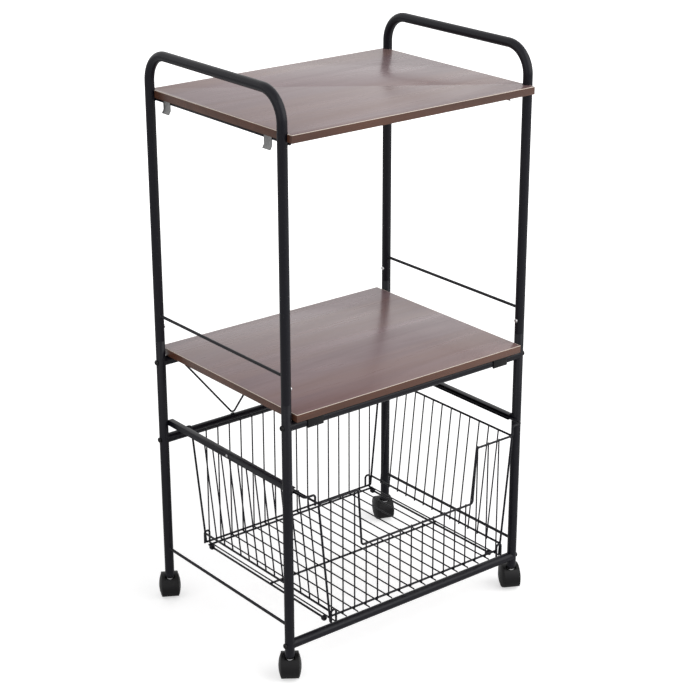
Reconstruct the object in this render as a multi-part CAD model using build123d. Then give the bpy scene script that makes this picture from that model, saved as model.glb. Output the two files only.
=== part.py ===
from build123d import *
import math
import os

# Rolling microwave stand: two wooden shelves in a steel tube frame, a wire basket drawer and four casters.
# Millimetres. X points right, Y points back, Z points up, the floor is Z = 0.

# ---- overall frame
tube_diameter = 19.0
tube_wall = 1.2
post_spacing_x = 581.0
post_spacing_y = 415.0
overall_height = 1161.5
handle_bend_radius = 55.0
joint_height = 576.0
spigot_length = 45.0
spigot_clearance = 0.1

# ---- thin rods
rod_diameter = 6.0
guard_rod_height = 629.0
bottom_rod_height = 117.0
shelf_rod_overrun = 7.0
weld_sink = 0.3
brace_diameter = 4.0
brace_bend_radius = 7.0

# ---- crossbars
front_bottom_bar_height = 77.0
rear_lower_bar_height = 363.0

# ---- shelves
top_shelf_side_inset = 3.5
top_shelf_front_overhang = 23.5
top_shelf_rear_overhang = 5.5
middle_shelf_side_gap = 2.0
middle_shelf_overhang = 17.5
shelf_thickness = 15.0
edge_band_thickness = 0.8
middle_shelf_top = 557.0
top_shelf_top = 1081.0
post_notch_gap = 0.8

# ---- clips under the top shelf
clip_thickness = 1.8
clip_width = 23.0
clip_drop = 25.0
clip_flare = 4.0
clip_reach = 22.0
clip_front_inset = 52.5
clip_rear_inset = 44.5
screw_diameter = 4.0
screw_head_diameter = 8.0
screw_head_height = 2.4
screw_length = 11.0

# ---- saddles between the middle shelf and its two bars
saddle_wall = 1.8
saddle_length = 36.0
saddle_offset_x = 231.0
saddle_flange_reach = 18.0
saddle_flange_thickness = 3.0

# ---- bolts of the crossbars
bolt_diameter = 6.0
bolt_head_diameter = 11.0
bolt_head_height = 3.6
bolt_grip = 15.0
bolt_hole_clearance = 0.15
insert_length = 14.0
insert_setback = 2.0
joint_screw_rise = 28.0
joint_screw_length = 9.0

# ---- drawer rails
rail_width = 11.0
rail_height = 12.0
rail_sheet = 1.2
rail_top_height = 403.0
rail_end_radius = 4.0
rivet_diameter = 3.0
rivet_head_diameter = 6.0
rivet_head_height = 1.0

# ---- basket drawer
rim_wire = 4.0
bar_wire = 2.5
wire_sink = 0.35
basket_front_reach = 35.5
basket_rear_inset = 34.5
basket_top_drop = 27.0
basket_side_low_height = 142.0
basket_foot_height = 117.0
front_edge_height = 124.0
basket_taper = 24.0
bar_pitch = 28.5
upright_bars = 16
side_bars = 13
notch_bars = 10
notch_height = 257.0
notch_lean = 8.0
rim_bend_radius = 7.0
floor_stub = 11.0
side_bar_overrun = 3.0
skid_setback = 14.0
skid_knob_diameter = 11.0
skid_knob_length = 8.0
skid_knob_round = 2.0
cross_wire_offset = 17.0
runner_gap = 0.3
runner_inset = 6.8
runner_reach = 24.5
runner_bend_radius = 6.0
hook_half_width = 6.0
hook_height = 27.0

# ---- casters
wheel_diameter = 50.0
wheel_width = 5.7
wheel_dome = 5.0
wheel_edge = 0.6
wheel_rim_radius = 1.0
wheel_cap = 2.0
wheel_side_gap = 0.5
caster_trail = 12.0
hood_body_width = 22.6
hood_wall = 1.4
hood_width = 35.0
hood_gap = 1.2
hood_low_edge = 8.0
hood_rear_edge = 27.0
hood_rear_reach = 14.0
hood_top_gap = 0.4
hood_scoop_gap = 0.6
stem_diameter = 8.0
stem_fit = 0.05
stem_seat_depth = 22.0
collar_diameter = 13.0
collar_height = 1.9
collar_gap = 0.1
socket_low_diameter = 12.5
socket_taper = 5.0
socket_depth = 30.0
stem_top_gap = 2.0
axle_diameter = 4.0
axle_fit = 0.05
axle_end_gap = 0.2
caster_yaw = {"front_left": -36.0, "rear_left": -30.0, "front_right": -28.0, "rear_right": -20.0}

# ---- worked-out sizes
tube_radius = tube_diameter / 2
bore_radius = tube_radius - tube_wall
rod_radius = rod_diameter / 2
post_x = post_spacing_x / 2
post_y = post_spacing_y / 2
post_inner_x = post_x - tube_radius
handle_height = overall_height - tube_radius
joint_screw_height = joint_height + joint_screw_rise
top_shelf_width = post_spacing_x - 2 * top_shelf_side_inset
top_shelf_depth = post_spacing_y + top_shelf_front_overhang + top_shelf_rear_overhang
top_shelf_shift_y = (top_shelf_rear_overhang - top_shelf_front_overhang) / 2
middle_shelf_width = 2 * (post_inner_x - middle_shelf_side_gap)
middle_shelf_depth = post_spacing_y + 2 * middle_shelf_overhang
clip_offsets_y = (clip_front_inset - post_y, post_y - clip_rear_inset)
middle_shelf_bottom = middle_shelf_top - shelf_thickness
top_shelf_bottom = top_shelf_top - shelf_thickness
shelf_bar_height = middle_shelf_bottom - saddle_wall - tube_radius
shelf_rod_x = post_inner_x - rod_radius + weld_sink
shelf_rod_height = top_shelf_bottom - clip_thickness - rod_radius
rail_outer_x = post_inner_x + weld_sink
rail_bottom_height = rail_top_height - rail_height
rim_radius = rim_wire / 2
bar_radius = bar_wire / 2
runner_x = rail_outer_x - runner_inset
basket_front_y = -post_y - basket_front_reach
basket_rear_y = post_y - basket_rear_inset
basket_top_height = rail_top_height - basket_top_drop
basket_top_half_width = runner_x - runner_reach - rim_wire
runner_height = rail_bottom_height + rail_sheet + runner_gap + rim_radius
basket_lean = basket_taper / (basket_top_height - basket_side_low_height)
basket_foot_half_width = basket_top_half_width - basket_lean * (basket_top_height - basket_foot_height)
basket_middle_y = (basket_rear_y + basket_front_y) / 2
front_bar_y = basket_front_y + rim_radius + bar_radius
front_edge_y = front_bar_y + bar_radius + rim_radius
rear_bar_y = basket_rear_y - rim_radius - bar_radius + wire_sink
floor_bar_height = front_edge_height - rim_radius - bar_radius + wire_sink
cross_wire_height = floor_bar_height - rim_radius - bar_radius + wire_sink
skid_height = cross_wire_height - rim_wire + wire_sink
wheel_radius = wheel_diameter / 2
hood_body_half = hood_body_width / 2
wheel_inner_x = hood_body_half + wheel_side_gap
wheel_rim_x = wheel_inner_x + wheel_width
wheel_outer_x = wheel_rim_x + wheel_dome
hood_half_width = hood_width / 2
hood_inner_radius = wheel_radius + hood_gap
hood_outer_radius = hood_inner_radius + hood_wall
post_end_height = wheel_radius + hood_outer_radius + hood_top_gap
socket_low = post_end_height - socket_taper
collar_top = socket_low - collar_gap
boss_top = collar_top - collar_height
stem_depth = front_bottom_bar_height - bolt_diameter / 2 - stem_top_gap - post_end_height

SIDES = (("left", -1), ("right", 1))
ENDS = (("front", -1), ("rear", 1))


def rod(start, end, diameter):
    """Solid round bar from one point to another."""
    a = Vector(*start)
    b = Vector(*end)
    place = Plane(origin=a, z_dir=b - a)
    return place * Cylinder(diameter / 2, (b - a).length, align=(Align.CENTER, Align.CENTER, Align.MIN))


def block(low, high):
    """Box between two opposite corners."""
    size = [high[i] - low[i] for i in range(3)]
    return Pos(*low) * Box(*size, align=(Align.MIN, Align.MIN, Align.MIN))


def bent_rod(points, diameter, bend_radius):
    """Round wire that follows straight runs joined by bends."""
    path = FilletPolyline(*points, radius=bend_radius)
    return sweep((path ^ 0) * Circle(diameter / 2), path=path)


def fuse(pieces):
    """One welded solid from touching pieces."""
    first = pieces[0]
    return first.fuse(*pieces[1:]) if len(pieces) > 1 else first


def group(solids):
    """Separate solids that share one node."""
    return Compound(children=list(solids))


def post_cutter(side, end, low, high):
    """Outer envelope of one post, for saddle cuts."""
    return rod((side * post_x, end * post_y, low), (side * post_x, end * post_y, high), tube_diameter)


# ---- frame
def upper_frame(side):
    """Bent tube: two uprights and the handle arch over the top shelf."""
    x = side * post_x
    points = [(x, -post_y, joint_height), (x, -post_y, handle_height),
              (x, post_y, handle_height), (x, post_y, joint_height)]
    frame = bent_rod(points, tube_diameter, handle_bend_radius)
    low_points = [(x, -post_y, joint_height - 1), points[1], points[2], (x, post_y, joint_height - 1)]
    frame = frame - bent_rod(low_points, 2 * bore_radius, handle_bend_radius)
    for end in (-1, 1):
        hole = rod((x, end * post_y, joint_screw_height),
                   (x - side * tube_diameter, end * post_y, joint_screw_height), screw_diameter)
        frame = frame - hole
    return frame


def lower_post(side, end):
    """Straight post with a swaged spigot that enters the upper frame."""
    x = side * post_x
    y = end * post_y
    spigot_radius = bore_radius - spigot_clearance
    spigot_bore = spigot_radius - tube_wall
    neck = tube_radius - spigot_radius
    outer = rod((x, y, post_end_height), (x, y, joint_height), tube_diameter)
    outer = outer + rod((x, y, joint_height), (x, y, joint_height + spigot_length), 2 * spigot_radius)
    inner = rod((x, y, post_end_height), (x, y, joint_height - 2 * neck), 2 * bore_radius)
    cone = Cone(bore_radius, spigot_bore, 2 * neck, align=(Align.CENTER, Align.CENTER, Align.MIN))
    inner = inner + Pos(x, y, joint_height - 2 * neck) * cone
    inner = inner + rod((x, y, joint_height), (x, y, joint_height + spigot_length), 2 * spigot_bore)
    post = outer - inner
    for height in bar_heights(end):
        hole = rod((x - tube_diameter, y, height), (x + tube_diameter, y, height),
                   bolt_diameter + 2 * bolt_hole_clearance)
        post = post - hole
    pilot = rod((x, y, joint_screw_height), (x - side * tube_diameter, y, joint_screw_height), screw_diameter)
    return post - pilot


def bar_heights(end):
    """Heights of the crossbars that meet the posts at this end."""
    if end < 0:
        return (shelf_bar_height, front_bottom_bar_height)
    return (shelf_bar_height, rear_lower_bar_height)


def crossbar(end, height):
    """Tube between two posts, its ends cut to sit on them."""
    y = end * post_y
    bar = rod((-post_x, y, height), (post_x, y, height), tube_diameter)
    bar = bar - rod((-post_x, y, height), (post_x, y, height), 2 * bore_radius)
    for side in (-1, 1):
        bar = bar - post_cutter(side, end, height - tube_diameter, height + tube_diameter)
    return bar


def side_rod(side, height):
    """Thin rod between the front and rear posts of one side."""
    x = side * post_x
    bar = rod((x, -post_y, height), (x, post_y, height), rod_diameter)
    for end in (-1, 1):
        bar = bar - post_cutter(side, end, height - tube_diameter, height + tube_diameter)
    return bar


def shelf_rod(side):
    """Rod welded to the inner faces of the posts, with rounded ends; it carries the top shelf."""
    reach = post_y + shelf_rod_overrun
    bar = rod((side * shelf_rod_x, -reach, shelf_rod_height), (side * shelf_rod_x, reach, shelf_rod_height),
              rod_diameter)
    bar = fillet(bar.edges().filter_by(GeomType.CIRCLE), rod_radius * 0.6)
    for end in (-1, 1):
        bar = bar - post_cutter(side, end, shelf_rod_height - tube_diameter, shelf_rod_height + tube_diameter)
    return bar


def zigzag_brace():
    """W-shaped wire between the two rear crossbars, welded to both."""
    low = rear_lower_bar_height + tube_radius
    high = shelf_bar_height - tube_radius
    step = (post_x - 2 * saddle_wall) * 0.42
    centre_low = low + brace_diameter * 0.3
    centre_high = high - brace_diameter * 0.3
    points = []
    for index in range(5):
        height = centre_high if index % 2 == 0 else centre_low
        points.append(((index - 2) * step, post_y, height))
    rise = centre_high - centre_low
    points[0] = (points[0][0] - step * 0.03, post_y, centre_high + rise * 0.03)
    points[4] = (points[4][0] + step * 0.03, post_y, centre_high + rise * 0.03)
    brace = bent_rod(points, brace_diameter, brace_bend_radius)
    for height in (rear_lower_bar_height, shelf_bar_height):
        brace = brace - rod((-post_x, post_y, height), (post_x, post_y, height), tube_diameter)
    return max(brace.solids(), key=lambda solid: solid.volume)


def bolt(side, end, height):
    """Button-head bolt from the outer face of a post into the bar."""
    x = side * post_x
    y = end * post_y
    outer = x + side * tube_radius
    tip = x - side * (tube_radius + bolt_grip)
    shank = rod((outer, y, height), (tip, y, height), bolt_diameter)
    head = rod((outer, y, height), (outer + side * bolt_head_height, y, height), bolt_head_diameter)
    far = head.edges().filter_by(GeomType.CIRCLE).sort_by(Axis.X)
    head = fillet([far[-1] if side > 0 else far[0]], bolt_head_height * 0.7)
    socket = rod((outer + side * bolt_head_height * 0.45, y, height),
                 (outer + side * bolt_head_height * 1.1, y, height), bolt_diameter * 0.65)
    head = head - socket
    return (shank + head) - post_cutter_ring(side, end, height)


def post_cutter_ring(side, end, height):
    """The wall of a post without its bolt hole, so that a head can seat on it."""
    wall = post_cutter(side, end, height - tube_diameter, height + tube_diameter)
    wall = wall - rod((side * post_x, end * post_y, height - tube_diameter),
                      (side * post_x, end * post_y, height + tube_diameter), 2 * bore_radius)
    reach = tube_diameter
    hole = rod((side * post_x - reach, end * post_y, height), (side * post_x + reach, end * post_y, height),
               bolt_diameter + 2 * bolt_hole_clearance)
    return wall - hole


def bar_insert(side, end, height):
    """Threaded plug pressed into the end of a crossbar."""
    start = side * (post_inner_x - insert_setback)
    finish = start - side * insert_length
    y = end * post_y
    plug = rod((start, y, height), (finish, y, height), 2 * bore_radius)
    return plug - rod((start, y, height), (finish, y, height), bolt_diameter)


def joint_screw(side, end):
    """Screw through the inner face of the upper frame into the spigot."""
    x = side * post_inner_x
    y = end * post_y
    head = rod((x + side * 0.4, y, joint_screw_height), (x - side * screw_head_height, y, joint_screw_height),
               screw_head_diameter)
    far = head.edges().filter_by(GeomType.CIRCLE).sort_by(Axis.X)
    head = fillet([far[0] if side > 0 else far[-1]], screw_head_height * 0.6)
    shank = rod((x, y, joint_screw_height), (x + side * joint_screw_length, y, joint_screw_height), screw_diameter)
    wall = post_cutter(side, end, joint_screw_height - tube_diameter, joint_screw_height + tube_diameter)
    screw = (head - wall) + shank
    return screw


def rail(side):
    """C-shaped channel, open towards the drawer, welded to both posts of a side."""
    outer = side * rail_outer_x
    inner = side * (rail_outer_x - rail_width)
    low_x = min(outer, inner)
    high_x = max(outer, inner)
    body = block((low_x, -post_y, rail_bottom_height), (high_x, post_y, rail_top_height))
    body = fillet(body.edges().filter_by(Axis.X), rail_end_radius)
    hollow_low_x = low_x + rail_sheet if side < 0 else low_x - rail_sheet
    hollow_high_x = high_x + rail_sheet if side < 0 else high_x - rail_sheet
    hollow = block((hollow_low_x, -post_y - 1, rail_bottom_height + rail_sheet),
                   (hollow_high_x, post_y + 1, rail_top_height - rail_sheet))
    body = body - hollow
    for end in (-1, 1):
        body = body - post_cutter(side, end, rail_bottom_height - 1, rail_top_height + 1)
    hole_height = (rail_bottom_height + rail_top_height) / 2
    hole = rod((outer + side, 0, hole_height), (outer - side * 3, 0, hole_height), rivet_diameter)
    return body - hole


def rail_rivet(side):
    """Round-head rivet through the web of a rail."""
    height = (rail_bottom_height + rail_top_height) / 2
    outer = side * rail_outer_x
    inner = side * (rail_outer_x - rail_sheet)
    shank = rod((outer, 0, height), (inner, 0, height), rivet_diameter)
    head = rod((outer, 0, height), (outer + side * rivet_head_height, 0, height), rivet_head_diameter)
    tail = rod((inner, 0, height), (inner - side * rivet_head_height * 0.7, 0, height), rivet_head_diameter * 0.8)
    return shank + head + tail


# ---- shelves
def shelf_core(width, depth, top, shift):
    """Board core inside its edge band, before any holes."""
    half_x = width / 2 - edge_band_thickness
    half_y = depth / 2 - edge_band_thickness
    return block((-half_x, shift - half_y, top - shelf_thickness), (half_x, shift + half_y, top))


def shelf_band(width, depth, top, shift):
    """Thin band glued around the four edges of a board."""
    half_x = width / 2
    half_y = depth / 2
    band = block((-half_x, shift - half_y, top - shelf_thickness), (half_x, shift + half_y, top))
    return band - shelf_core(width, depth, top, shift)


def notch_round_posts(shape):
    """Cuts the top shelf back where the four posts pass it."""
    reach = tube_radius + post_notch_gap
    for side in (-1, 1):
        for end in (-1, 1):
            x = side * post_x
            y = end * post_y
            shape = shape - rod((x, y, top_shelf_bottom - 1), (x, y, top_shelf_top + 1), 2 * reach)
    return shape


def clip_hole_x(side):
    """Where the clip screw enters the board."""
    return side * (shelf_rod_x - rod_radius - clip_reach / 2)


def top_clip(side, y):
    """Bent strip: screwed under the board, over the rod and down its outer side, flared at the foot."""
    half = clip_width / 2
    leg_inner = shelf_rod_x + rod_radius + 0.2
    leg_outer = leg_inner + clip_thickness
    plate_end = shelf_rod_x - rod_radius - clip_reach
    top = top_shelf_bottom
    foot = top - clip_drop
    knee = foot + clip_flare * 1.8
    outline = [(plate_end, top), (leg_outer, top), (leg_outer, knee), (leg_outer + clip_flare, foot),
               (leg_inner + clip_flare, foot), (leg_inner, knee), (leg_inner, top - clip_thickness),
               (plate_end, top - clip_thickness)]
    profile = make_face(Polyline(*[(side * px, pz) for px, pz in outline], close=True))
    place = Plane(origin=(0, y + half, 0), x_dir=(1, 0, 0), z_dir=(0, -1, 0))
    strip = extrude(place * profile, clip_width)
    hole = rod((clip_hole_x(side), y, top + 1), (clip_hole_x(side), y, top - 5), screw_diameter)
    return strip - hole


def board_screw(x, y, seat, board_bottom):
    """Pan-head screw driven up into a board; seat is the face its head bears on."""
    shank = rod((x, y, seat), (x, y, board_bottom + screw_length), screw_diameter)
    head = rod((x, y, seat - screw_head_height), (x, y, seat), screw_head_diameter)
    low = head.edges().filter_by(GeomType.CIRCLE).sort_by(Axis.Z)[0]
    head = fillet([low], screw_head_height * 0.6)
    return shank + head


def drill(board, points, bottom):
    """Blind screw holes in the underside of a board."""
    for x, y in points:
        board = board - rod((x, y, bottom - 1), (x, y, bottom + screw_length), screw_diameter)
    return board


def clip_points():
    """Screw positions of the clips under the top shelf."""
    return [(clip_hole_x(side), y) for side in (-1, 1) for y in clip_offsets_y]


def saddle_screw_y(end):
    """Where a saddle's screw enters the middle shelf."""
    return end * (post_y - tube_radius - saddle_wall - saddle_flange_reach / 2)


def saddle_points():
    """Screw positions of the saddles under the middle shelf."""
    return [(side * saddle_offset_x, saddle_screw_y(end)) for side in (-1, 1) for end in (-1, 1)]


def saddle(side, end):
    """Moulded saddle: hugs the shelf bar and is screwed up into the board."""
    x = side * saddle_offset_x
    y = end * post_y
    outer = tube_radius + saddle_wall
    low_x = x - saddle_length / 2
    high_x = x + saddle_length / 2
    body = block((low_x, y - outer, shelf_bar_height - tube_radius), (high_x, y + outer, middle_shelf_bottom))
    body = fillet(body.edges().filter_by(Axis.X).group_by(Axis.Z)[0], saddle_wall * 0.8)
    slot = tube_radius * 0.8
    body = body - block((low_x - 1, y - slot, shelf_bar_height - 2 * tube_radius),
                        (high_x + 1, y + slot, shelf_bar_height))
    flange_far = y - end * (outer + saddle_flange_reach)
    flange_near = y - end * (outer - 0.5)
    flange = block((low_x, min(flange_far, flange_near), middle_shelf_bottom - saddle_flange_thickness),
                   (high_x, max(flange_far, flange_near), middle_shelf_bottom))
    body = body + flange
    body = body - rod((low_x - 1, y, shelf_bar_height), (high_x + 1, y, shelf_bar_height), tube_diameter)
    screw_y = saddle_screw_y(end)
    hole = rod((x, screw_y, middle_shelf_bottom + 1), (x, screw_y, middle_shelf_bottom - 6), screw_diameter)
    return body - hole


# ---- basket drawer
def side_wire_x(height):
    """Half-width of the tapered basket at a height."""
    return basket_top_half_width - basket_lean * (basket_top_height - height)


def bar_positions():
    """X of the upright and floor bars, evenly pitched about the middle."""
    first = -bar_pitch * (upright_bars - 1) / 2
    return [first + bar_pitch * index for index in range(upright_bars)]


def front_rim():
    """Front frame wire: corner uprights, two shoulders and the low notch between them."""
    notch_x = bar_pitch * notch_bars / 2
    shoulder_x = notch_x + notch_lean
    y = basket_front_y
    points = [(-basket_foot_half_width, y, basket_foot_height), (-basket_top_half_width, y, basket_top_height),
              (-shoulder_x, y, basket_top_height), (-notch_x, y, notch_height),
              (notch_x, y, notch_height), (shoulder_x, y, basket_top_height),
              (basket_top_half_width, y, basket_top_height), (basket_foot_half_width, y, basket_foot_height)]
    return bent_rod(points, rim_wire, rim_bend_radius)


def front_bars(low_index, high_index, top):
    """Upright bars welded behind the front rim; they stand on the floor bars."""
    low = floor_bar_height + bar_radius
    return [rod((x, front_bar_y, low), (x, front_bar_y, top + rim_radius * 0.5), bar_wire)
            for x in bar_positions()[low_index:high_index]]


def rear_panel():
    """Rear grille: top, bottom and corner wires with upright bars in front of them."""
    y = basket_rear_y
    low = floor_bar_height + bar_radius * 0.5
    foot_x = side_wire_x(low)
    top_x = basket_top_half_width
    frame = [rod((-top_x, y, basket_top_height), (top_x, y, basket_top_height), rim_wire),
             rod((-foot_x, y, low), (foot_x, y, low), rim_wire)]
    for side in (-1, 1):
        frame.append(rod((side * foot_x, y, low), (side * top_x, y, basket_top_height), rim_wire))
        frame.append(Pos(side * top_x, y, basket_top_height) * Sphere(rim_radius))
        frame.append(Pos(side * foot_x, y, low) * Sphere(rim_radius))
    for x in bar_positions():
        frame.append(rod((x, rear_bar_y, low - rim_radius * 1.4), (x, rear_bar_y, basket_top_height + rim_radius * 0.7),
                         bar_wire))
    return fuse(frame)


def side_panel(side):
    """Side grille: top and lower wires with bars on their inner faces."""
    start = basket_front_y + rim_radius
    finish = basket_rear_y - rim_radius
    wires = []
    for height in (basket_top_height, basket_side_low_height):
        x = side * side_wire_x(height)
        wires.append(rod((x, start, height), (x, finish, height), rim_wire))
    shift = side * (rim_radius + bar_radius - wire_sink)
    low = basket_side_low_height - side_bar_overrun
    high = basket_top_height + rim_radius * 0.8
    for index in range(side_bars):
        y = basket_middle_y + (index - (side_bars - 1) / 2) * bar_pitch
        wires.append(rod((side * side_wire_x(low) - shift, y, low), (side * side_wire_x(high) - shift, y, high),
                         bar_wire))
    return fuse(wires)


def floor_panel():
    """Floor grille: bars front to back, an edge wire above them, cross wires and skids below."""
    edge_x = basket_foot_half_width
    rear = rear_bar_y - bar_radius
    wires = [rod((-edge_x, front_edge_y, front_edge_height), (edge_x, front_edge_y, front_edge_height), rim_wire)]
    for x in bar_positions():
        wires.append(rod((x, front_edge_y - rim_radius - floor_stub, floor_bar_height), (x, rear, floor_bar_height),
                         bar_wire))
    for y in (basket_middle_y - cross_wire_offset, rear - rim_wire * 2):
        wires.append(rod((-edge_x, y, cross_wire_height), (edge_x, y, cross_wire_height), rim_wire))
    for side in (-1, 1):
        x = side * (edge_x - rim_wire)
        front = front_edge_y + skid_setback
        wires.append(rod((x, front, skid_height), (x, rear - rim_wire, skid_height), rim_wire))
        knob = rod((x, front, skid_height), (x, front + skid_knob_length, skid_height), skid_knob_diameter)
        wires.append(fillet(knob.edges().filter_by(GeomType.CIRCLE), skid_knob_round))
    return fuse(wires)


def runner(side):
    """Bent wire that lifts off the basket's corners and rides inside the rail."""
    foot_x = side * (runner_x - runner_reach)
    foot_height = basket_top_height - rim_wire
    front = basket_front_y + rim_wire
    rear = basket_rear_y - rim_wire
    rail_x = side * runner_x
    points = [(foot_x, front, foot_height), (foot_x, front, runner_height), (rail_x, front, runner_height),
              (rail_x, rear, runner_height), (foot_x, rear, runner_height), (foot_x, rear, foot_height)]
    return bent_rod(points, rim_wire, runner_bend_radius)


def corner_hook(side, end):
    """Hairpin on the outer face of a lower corner, tying its wires together."""
    y = (basket_front_y if end < 0 else basket_rear_y) + end * rim_wire
    low = basket_foot_height
    high = low + hook_height
    outer_x = side_wire_x((low + high) / 2)
    inner_x = outer_x - 2 * hook_half_width
    points = [(side * inner_x, y, low), (side * inner_x, y, high),
              (side * outer_x, y, high), (side * outer_x, y, low)]
    return bent_rod(points, rim_wire, hook_half_width * 0.9)


# ---- casters
def caster_origin(side, end):
    """Stem axis of a caster on the floor."""
    return Pos(side * post_x, end * post_y, 0)


def socket(side, end):
    """Tapered plug in the end of a post, bored for the caster stem."""
    plug = Pos(0, 0, post_end_height) * Cylinder(bore_radius, socket_depth,
                                                 align=(Align.CENTER, Align.CENTER, Align.MIN))
    taper = Pos(0, 0, socket_low) * Cone(socket_low_diameter / 2, tube_radius, post_end_height - socket_low,
                                         align=(Align.CENTER, Align.CENTER, Align.MIN))
    bore = rod((0, 0, socket_low - 1), (0, 0, post_end_height + stem_depth), stem_diameter + 2 * stem_fit)
    cross = rod((-tube_diameter, 0, front_bottom_bar_height), (tube_diameter, 0, front_bottom_bar_height),
                bolt_diameter + 2 * bolt_hole_clearance)
    return caster_origin(side, end) * ((plug + taper) - bore - cross)


def caster_stem():
    """Steel pin with a collar, pressed into the hood."""
    pin = rod((0, 0, boss_top - stem_seat_depth), (0, 0, post_end_height + stem_depth - 0.5), stem_diameter)
    pin = chamfer(pin.edges().filter_by(GeomType.CIRCLE).sort_by(Axis.Z)[-1], 1.2)
    collar = rod((0, 0, boss_top), (0, 0, collar_top), collar_diameter)
    return pin + collar


def across(radius, half_width, centre_y, centre_z):
    """Disc whose axis lies along the wheel axle."""
    return rod((-half_width, centre_y, centre_z), (half_width, centre_y, centre_z), 2 * radius)


def caster_hood():
    """Moulded hood: a cover over both wheels, a body between them and a scoop round the stem."""
    y = caster_trail
    z = wheel_radius
    far = 2 * hood_outer_radius
    cover = across(hood_outer_radius, hood_half_width, y, z)
    cover = fillet(cover.edges().filter_by(GeomType.CIRCLE), hood_wall * 0.7)
    cover = cover - across(hood_inner_radius, hood_half_width + 1, y, z)
    hood = cover + across(hood_inner_radius + hood_wall / 2, hood_body_half, y, z)
    hood = hood - block((-far, y - far, z - far), (far, y + far, hood_low_edge))
    hood = hood - block((-far, y + hood_rear_reach, z - far), (far, y + far, hood_rear_edge))
    scoop_radius = tube_radius + hood_scoop_gap
    scoop = rod((0, 0, boss_top), (0, 0, boss_top + far), 2 * scoop_radius)
    scoop = scoop + block((-scoop_radius, -far, boss_top), (scoop_radius, 0, boss_top + far))
    hood = hood - scoop
    hood = hood - rod((0, 0, boss_top - stem_seat_depth), (0, 0, boss_top + 1), stem_diameter)
    hood = hood - across(axle_diameter / 2, hood_half_width, y, z)
    return max(hood.solids(), key=lambda solid: solid.volume)


def caster_axle():
    """Steel pin through the body of the hood."""
    return across(axle_diameter / 2, wheel_outer_x - wheel_cap - axle_end_gap, caster_trail, wheel_radius)


def caster_wheel(direction):
    """One wheel turned to shape: straight tread, domed outer face and a blind bore for the axle."""
    dome_radius = (wheel_radius ** 2 + wheel_dome ** 2) / (2 * wheel_dome)
    half_angle = math.asin(wheel_radius / dome_radius) / 2
    middle = (direction * (wheel_outer_x - dome_radius * (1 - math.cos(half_angle))),
              dome_radius * math.sin(half_angle))
    apex = (direction * wheel_outer_x, 0)
    centre = (direction * wheel_inner_x, 0)
    rim = (direction * wheel_rim_x, wheel_radius)
    tread = Polyline(apex, centre, (direction * wheel_inner_x, wheel_radius - wheel_edge),
                     (direction * (wheel_inner_x + wheel_edge), wheel_radius), rim)
    dome = ThreePointArc(rim, middle, apex)
    disc = revolve(make_face([tread, dome]), Axis.X)
    rims = [edge for edge in disc.edges() if abs(edge.length - 2 * math.pi * wheel_radius) < 0.1]
    disc = fillet([max(rims, key=lambda edge: direction * edge.center().X)], wheel_rim_radius)
    bore = rod((direction * (wheel_inner_x - 1), 0, 0), (direction * (wheel_outer_x - wheel_cap), 0, 0),
               axle_diameter + 2 * axle_fit)
    return Pos(0, caster_trail, wheel_radius) * (disc - bore)


def placed_caster(name, side, end, shape):
    """Turns a caster piece about its stem and puts it under its post."""
    return caster_origin(side, end) * Rot(0, 0, caster_yaw[name]) * shape


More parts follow.
